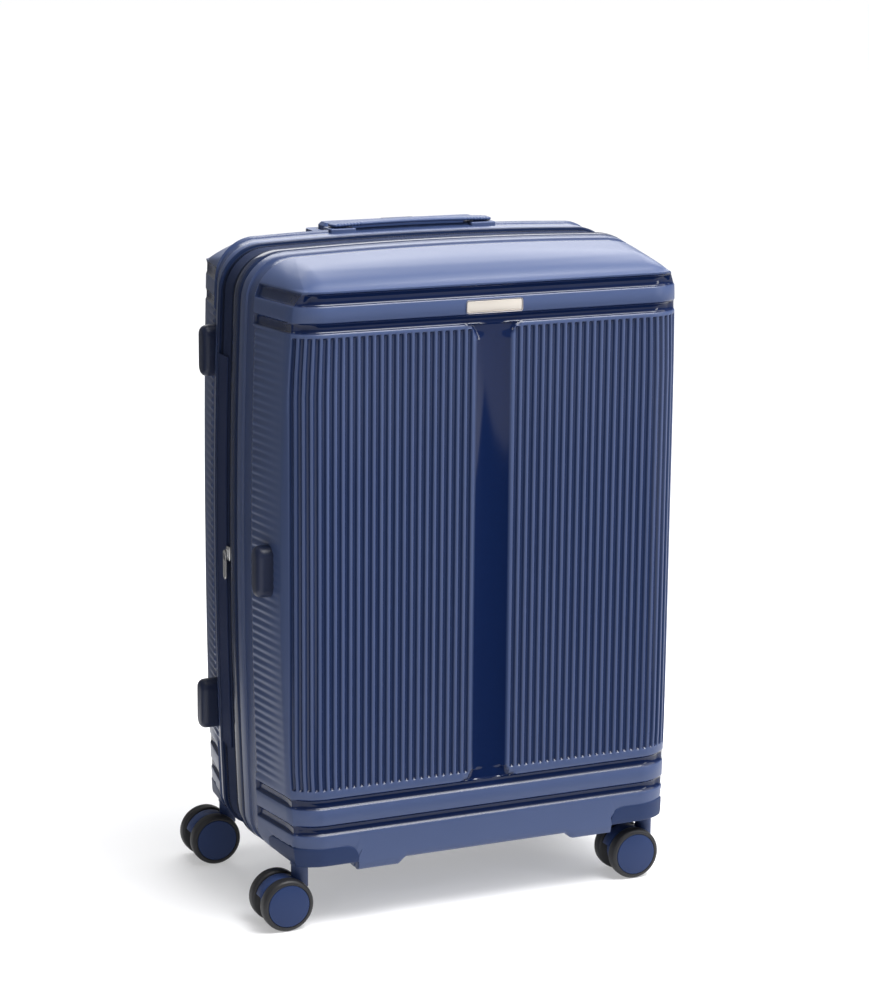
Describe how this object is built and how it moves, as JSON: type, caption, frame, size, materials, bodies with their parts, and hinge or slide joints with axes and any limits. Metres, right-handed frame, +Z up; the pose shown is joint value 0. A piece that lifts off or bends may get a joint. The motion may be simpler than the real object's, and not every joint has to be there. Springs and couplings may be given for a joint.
{
  "type": "hard shell suitcase",
  "caption": "Upright hard shell suitcase with ribbed moulded halves, zip closure, telescopic trolley handle and swivelling twin-wheel casters.",
  "frame": {"origin": "on the floor, under the middle of the closed case with its casters trailing left", "axes": "+Z up, -Y towards the ribbed front face, +X to the right seen from the front"},
  "size_m": [0.4774, 0.265, 0.67],
  "materials": {
    "shell": "fine-grain satin with polished grooves",
    "bead": "glossy",
    "guard": "matte",
    "tape": "woven",
    "lining": "woven lining",
    "tyre": "matte black",
    "wheel_cap": "matte",
    "fork": "matte",
    "steel": "plain steel",
    "tube": "satin anodised",
    "handle": "matte",
    "plate": "pale champagne satin",
    "pull": "bright",
    "dial": "matte dark",
    "lock": "matte dark"
  },
  "bodies": {
    "rear_half": {"rear_shell": "shell", "rear_lining": "lining", "rear_rim": "bead", "main_zip_rear_tape": "tape", "hinge_strip": "tape", "trolley_bezel": "handle", "trolley_outer_tubes": "tube", "trolley_foot_bracket": "handle", "carry_handle_anchors": "handle", "rear_side_feet": "handle", "rear_corner_guards": "guard", "lock_housing": "lock"},
    "lid_frame": {"main_zip_front_tape": "tape", "expander_gusset": "tape"},
    "front_half": {"front_shell": "shell", "front_lining": "lining", "front_rim": "bead", "nameplate": "plate", "front_side_foot": "handle", "front_corner_guards": "guard"},
    "trolley_mid": {"trolley_mid_tubes": "tube"},
    "trolley_top": {"trolley_inner_tubes": "tube", "trolley_grip": "handle"},
    "trolley_release": {"trolley_button": "handle"},
    "top_handle": {"top_carry_handle": "handle"},
    "side_handle": {"side_carry_handle": "handle"},
    "main_zip_upper": {"main_slider_upper": "pull"},
    "main_zip_upper_pull": {"main_pull_upper": "pull"},
    "main_zip_lower": {"main_slider_lower": "pull"},
    "main_zip_lower_pull": {"main_pull_lower": "pull"},
    "expander_zip": {"expander_slider": "pull"},
    "expander_zip_pull": {"expander_pull": "pull"},
    "dial_1": {"lock_dial_1": "dial"},
    "dial_2": {"lock_dial_2": "dial"},
    "dial_3": {"lock_dial_3": "dial"},
    "lock_release": {"lock_button": "lock"},
    "front_left_caster": {"front_left_fork": "fork", "front_left_axle": "steel"},
    "front_left_wheel_a": {"front_left_wheel_a": "tyre", "front_left_cap_a": "wheel_cap"},
    "front_left_wheel_b": {"front_left_wheel_b": "tyre", "front_left_cap_b": "wheel_cap"},
    "front_right_caster": {"front_right_fork": "fork", "front_right_axle": "steel"},
    "front_right_wheel_a": {"front_right_wheel_a": "tyre", "front_right_cap_a": "wheel_cap"},
    "front_right_wheel_b": {"front_right_wheel_b": "tyre", "front_right_cap_b": "wheel_cap"},
    "rear_left_caster": {"rear_left_fork": "fork", "rear_left_axle": "steel"},
    "rear_left_wheel_a": {"rear_left_wheel_a": "tyre", "rear_left_cap_a": "wheel_cap"},
    "rear_left_wheel_b": {"rear_left_wheel_b": "tyre", "rear_left_cap_b": "wheel_cap"},
    "rear_right_caster": {"rear_right_fork": "fork", "rear_right_axle": "steel"},
    "rear_right_wheel_a": {"rear_right_wheel_a": "tyre", "rear_right_cap_a": "wheel_cap"},
    "rear_right_wheel_b": {"rear_right_wheel_b": "tyre", "rear_right_cap_b": "wheel_cap"}
  },
  "joints": [
    {"name": "lid_hinge", "type": "hinge", "parent": "rear_half", "child": "lid_frame", "pos_m": [-0.232, 0.025, 0.351], "axis": [0, 0, -1], "range_deg": [0, 180], "deforming": ["hinge_strip"]},
    {"name": "expander_slide", "type": "slide", "parent": "lid_frame", "child": "front_half", "axis": [0, -1, 0], "range_m": [0, 0.035]},
    {"name": "trolley_lower_stage", "type": "slide", "parent": "rear_half", "child": "trolley_mid", "axis": [0, 0, 1], "range_m": [0, 0.19]},
    {"name": "trolley_upper_stage", "type": "slide", "parent": "trolley_mid", "child": "trolley_top", "axis": [0, 0, 1], "range_m": [0, 0.19]},
    {"name": "trolley_button_press", "type": "slide", "parent": "trolley_top", "child": "trolley_release", "axis": [0, 0, -1], "range_m": [0, 0.004], "stiffness_N_per_m": 900},
    {"name": "top_handle_lift", "type": "slide", "parent": "rear_half", "child": "top_handle", "axis": [0, 0, 1], "range_m": [0, 0.012]},
    {"name": "side_handle_lift", "type": "slide", "parent": "rear_half", "child": "side_handle", "axis": [1, 0, 0], "range_m": [0, 0.012]},
    {"name": "main_zip_upper_run", "type": "slide", "parent": "rear_half", "child": "main_zip_upper", "axis": [-0.0324, 0, 0.9995], "range_m": [0, 0.05]},
    {"name": "main_zip_upper_pull_swing", "type": "hinge", "parent": "main_zip_upper", "child": "main_zip_upper_pull", "pos_m": [0.22518, 0.033, 0.549], "axis": [0, -1, 0], "range_deg": [0, 120]},
    {"name": "main_zip_lower_run", "type": "slide", "parent": "rear_half", "child": "main_zip_lower", "axis": [0.0194, 0, -0.9998], "range_m": [0, 0.05]},
    {"name": "main_zip_lower_pull_swing", "type": "hinge", "parent": "main_zip_lower", "child": "main_zip_lower_pull", "pos_m": [0.22712, 0.033, 0.474], "axis": [0, -1, 0], "range_deg": [0, 120]},
    {"name": "expander_zip_run", "type": "slide", "parent": "lid_frame", "child": "expander_zip", "axis": [0, 0, 1], "range_m": [-0.05, 0.05]},
    {"name": "expander_zip_pull_swing", "type": "hinge", "parent": "expander_zip", "child": "expander_zip_pull", "pos_m": [-0.2282, 0.0057, 0.359], "axis": [1, 0, 0], "range_deg": [-75, 75]},
    {"name": "dial_1_turn", "type": "hinge", "parent": "rear_half", "child": "dial_1", "pos_m": [0.2222, 0.056, 0.487], "axis": [0, 0, 1], "continuous": true},
    {"name": "dial_2_turn", "type": "hinge", "parent": "rear_half", "child": "dial_2", "pos_m": [0.2222, 0.056, 0.496], "axis": [0, 0, 1], "continuous": true},
    {"name": "dial_3_turn", "type": "hinge", "parent": "rear_half", "child": "dial_3", "pos_m": [0.2222, 0.056, 0.505], "axis": [0, 0, 1], "continuous": true},
    {"name": "lock_button_press", "type": "slide", "parent": "rear_half", "child": "lock_release", "axis": [-1, 0, 0], "range_m": [0, 0.002], "stiffness_N_per_m": 800},
    {"name": "front_left_swivel", "type": "hinge", "parent": "front_half", "child": "front_left_caster", "pos_m": [-0.1925, -0.104, 0.06], "axis": [0, 0, 1], "continuous": true},
    {"name": "front_left_spin_a", "type": "hinge", "parent": "front_left_caster", "child": "front_left_wheel_a", "pos_m": [-0.2122, -0.104, 0.0265], "axis": [0, 1, 0], "continuous": true},
    {"name": "front_left_spin_b", "type": "hinge", "parent": "front_left_caster", "child": "front_left_wheel_b", "pos_m": [-0.2122, -0.104, 0.0265], "axis": [0, 1, 0], "continuous": true},
    {"name": "front_right_swivel", "type": "hinge", "parent": "front_half", "child": "front_right_caster", "pos_m": [0.1925, -0.104, 0.06], "axis": [0, 0, 1], "continuous": true},
    {"name": "front_right_spin_a", "type": "hinge", "parent": "front_right_caster", "child": "front_right_wheel_a", "pos_m": [0.1728, -0.104, 0.0265], "axis": [0, 1, 0], "continuous": true},
    {"name": "front_right_spin_b", "type": "hinge", "parent": "front_right_caster", "child": "front_right_wheel_b", "pos_m": [0.1728, -0.104, 0.0265], "axis": [0, 1, 0], "continuous": true},
    {"name": "rear_left_swivel", "type": "hinge", "parent": "rear_half", "child": "rear_left_caster", "pos_m": [-0.1925, 0.104, 0.06], "axis": [0, 0, 1], "continuous": true},
    {"name": "rear_left_spin_a", "type": "hinge", "parent": "rear_left_caster", "child": "rear_left_wheel_a", "pos_m": [-0.2122, 0.104, 0.0265], "axis": [0, 1, 0], "continuous": true},
    {"name": "rear_left_spin_b", "type": "hinge", "parent": "rear_left_caster", "child": "rear_left_wheel_b", "pos_m": [-0.2122, 0.104, 0.0265], "axis": [0, 1, 0], "continuous": true},
    {"name": "rear_right_swivel", "type": "hinge", "parent": "rear_half", "child": "rear_right_caster", "pos_m": [0.1925, 0.104, 0.06], "axis": [0, 0, 1], "continuous": true},
    {"name": "rear_right_spin_a", "type": "hinge", "parent": "rear_right_caster", "child": "rear_right_wheel_a", "pos_m": [0.1728, 0.104, 0.0265], "axis": [0, 1, 0], "continuous": true},
    {"name": "rear_right_spin_b", "type": "hinge", "parent": "rear_right_caster", "child": "rear_right_wheel_b", "pos_m": [0.1728, 0.104, 0.0265], "axis": [0, 1, 0], "continuous": true}
  ]
}
